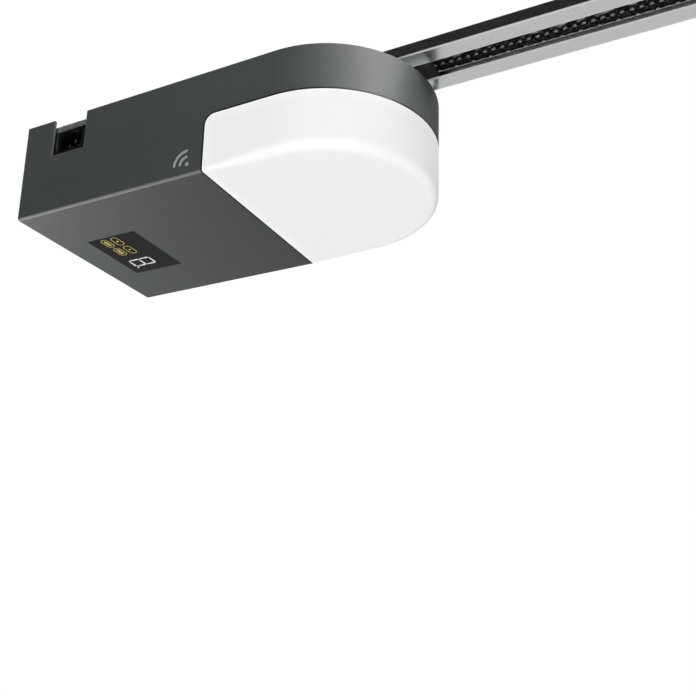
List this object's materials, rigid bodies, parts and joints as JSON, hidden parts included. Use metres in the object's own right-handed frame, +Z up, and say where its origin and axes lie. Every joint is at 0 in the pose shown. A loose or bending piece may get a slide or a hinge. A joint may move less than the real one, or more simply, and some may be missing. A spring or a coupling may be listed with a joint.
{
  "type": "garage door opener",
  "caption": "Ceiling-hung garage door opener: round-nosed drive head with opal lamp and key panel, slotted rail with chain, trolley, release lever, hinged door arm and wall bracket.",
  "frame": {"origin": "centre of the four ceiling screw holes over the head, in the plane of the ceiling", "axes": "+Z up into the ceiling; +X along the rail towards the door; +Y to the left when facing the door, away from the mains inlet"},
  "size_m": [3.24, 0.2, 0.5045],
  "materials": {
    "cover_plastic": "fine-textured anthracite moulding",
    "opal_lens": "translucent opal white",
    "galvanised_sheet": "galvanised steel sheet",
    "zinc_screws": "zinc-plated fasteners",
    "white_board": "white solder resist on aluminium, with LEDs",
    "panel_black": "high-gloss black",
    "key_black": "high-gloss black with a printed outline",
    "display_black": "black display block",
    "board_green": "green circuit board with parts",
    "inlet_black": "black moulded appliance inlet",
    "contact_metal": "nickel-plated contact blades",
    "iron_core": "laminated iron, lacquered",
    "copper_winding": "enamelled copper wire",
    "motor_steel": "zinc-plated drawn steel",
    "magnet_grey": "ferrite",
    "hard_steel": "turned steel",
    "white_nylon": "natural nylon",
    "black_nylon": "black glass-filled nylon",
    "die_cast": "tumbled zinc-aluminium casting",
    "bronze": "sintered bronze",
    "rail_steel": "galvanised, roll formed",
    "chain_steel": "oiled black steel",
    "stop_rubber": "black rubber",
    "shoe_nylon": "white sliding nylon",
    "black_plastic": "black moulded plastic",
    "shuttle_plastic": "yellow-orange moulded plastic",
    "lever_red": "red moulded plastic",
    "spring_steel": "oiled spring steel"
  },
  "bodies": {
    "root": {"housing_cover": "cover_plastic", "lamp_lens": "opal_lens", "chassis_plate": "galvanised_sheet", "head_screws": "zinc_screws", "led_board": "white_board", "control_panel": "panel_black", "display_module": "display_black", "control_board": "board_green", "mains_inlet": "inlet_black", "inlet_pins": "contact_metal", "transformer_core": "iron_core", "transformer_winding": "copper_winding", "motor_can": "motor_steel", "motor_magnets": "magnet_grey", "motor_front_plate": "motor_steel", "gearbox_housing": "die_cast", "gearbox_lid": "die_cast", "output_bushes": "bronze", "rail_saddle": "galvanised_sheet", "ceiling_bridge": "galvanised_sheet", "bridge_bolts": "zinc_screws", "rail_section_1": "rail_steel", "rail_section_2": "rail_steel", "rail_section_3": "rail_steel", "rail_joiners": "galvanised_sheet", "rail_end_cap": "black_plastic", "rail_hanger": "galvanised_sheet", "drive_chain": "chain_steel", "rail_stops": "stop_rubber", "end_fitting": "die_cast", "idler_fork": "galvanised_sheet", "idler_axle": "hard_steel", "tension_bolt": "zinc_screws", "disc_springs": "spring_steel", "tension_nut": "zinc_screws"},
    "output": {"output_shaft": "hard_steel", "drive_sprocket": "hard_steel", "worm_wheel": "white_nylon"},
    "rotor": {"motor_rotor": "iron_core", "worm_shaft": "hard_steel"},
    "idler": {"idler_wheel": "black_nylon"},
    "key_1": {"panel_key_1": "key_black"},
    "key_2": {"panel_key_2": "key_black"},
    "key_3": {"panel_key_3": "key_black"},
    "key_4": {"panel_key_4": "key_black"},
    "trolley": {"trolley_shoe": "shoe_nylon", "trolley_body": "black_plastic", "chain_shuttle": "shuttle_plastic", "lever_pin": "hard_steel", "arm_pin": "zinc_screws", "release_spring": "spring_steel"},
    "lever": {"release_lever": "lever_red"},
    "latch": {"release_pin": "hard_steel"},
    "arm": {"door_arm_upper": "galvanised_sheet", "door_arm_lower": "galvanised_sheet", "arm_bolts": "zinc_screws"},
    "door": {"door_bracket": "galvanised_sheet", "door_pin": "zinc_screws"},
    "wall": {"wall_bracket": "galvanised_sheet", "wall_pivot_bolt": "zinc_screws"}
  },
  "joints": [
    {"name": "trolley_slide", "type": "slide", "parent": "root", "child": "trolley", "axis": [-1, 0, 0], "range_m": [0, 2.4806]},
    {"name": "output_spin", "type": "hinge", "parent": "root", "child": "output", "pos_m": [-0.06, 0, -0.093], "axis": [0, 0, 1], "continuous": true},
    {"name": "motor_spin", "type": "hinge", "parent": "root", "child": "rotor", "pos_m": [-0.06, -0.033, -0.093], "axis": [1, 0, 0], "continuous": true},
    {"name": "idler_spin", "type": "hinge", "parent": "root", "child": "idler", "pos_m": [2.888, 0, -0.0242], "axis": [0, 0, 1], "continuous": true},
    {"name": "release_lever_pull", "type": "hinge", "parent": "trolley", "child": "lever", "pos_m": [2.754, 0, -0.066], "axis": [0, -1, 0], "range_deg": [0, 18], "stiffness_Nm_per_rad": 0.6, "springref_deg": -14.32},
    {"name": "latch_drop", "type": "slide", "parent": "trolley", "child": "latch", "axis": [0, 0, -1], "range_m": [0, 0.0098], "deforming": ["release_spring"]},
    {"name": "arm_swing", "type": "hinge", "parent": "trolley", "child": "arm", "pos_m": [2.785, 0, -0.072], "axis": [0, 1, 0], "range_deg": [-80, 12]},
    {"name": "door_bracket_swing", "type": "hinge", "parent": "arm", "child": "door", "pos_m": [2.785, 0, -0.472], "axis": [0, 1, 0], "range_deg": [-90, 90]},
    {"name": "wall_bracket_tilt", "type": "hinge", "parent": "root", "child": "wall", "pos_m": [2.985, 0, -0.026], "axis": [0, 1, 0], "range_deg": [-40, 40]},
    {"name": "key_1_press", "type": "slide", "parent": "root", "child": "key_1", "axis": [0, 0, 1], "range_m": [0, 0.0005], "stiffness_N_per_m": 200},
    {"name": "key_2_press", "type": "slide", "parent": "root", "child": "key_2", "axis": [0, 0, 1], "range_m": [0, 0.0005], "stiffness_N_per_m": 200},
    {"name": "key_3_press", "type": "slide", "parent": "root", "child": "key_3", "axis": [0, 0, 1], "range_m": [0, 0.0005], "stiffness_N_per_m": 200},
    {"name": "key_4_press", "type": "slide", "parent": "root", "child": "key_4", "axis": [0, 0, 1], "range_m": [0, 0.0005], "stiffness_N_per_m": 200}
  ],
  "couplings": [
    {"joint": "output_spin", "follows": "trolley_slide", "rad_per_m": 77.254},
    {"joint": "motor_spin", "follows": "trolley_slide", "rad_per_m": -1931.4},
    {"joint": "idler_spin", "follows": "trolley_slide", "rad_per_m": 77.254},
    {"joint": "latch_drop", "follows": "release_lever_pull", "m_per_rad": 0.0308}
  ]
}
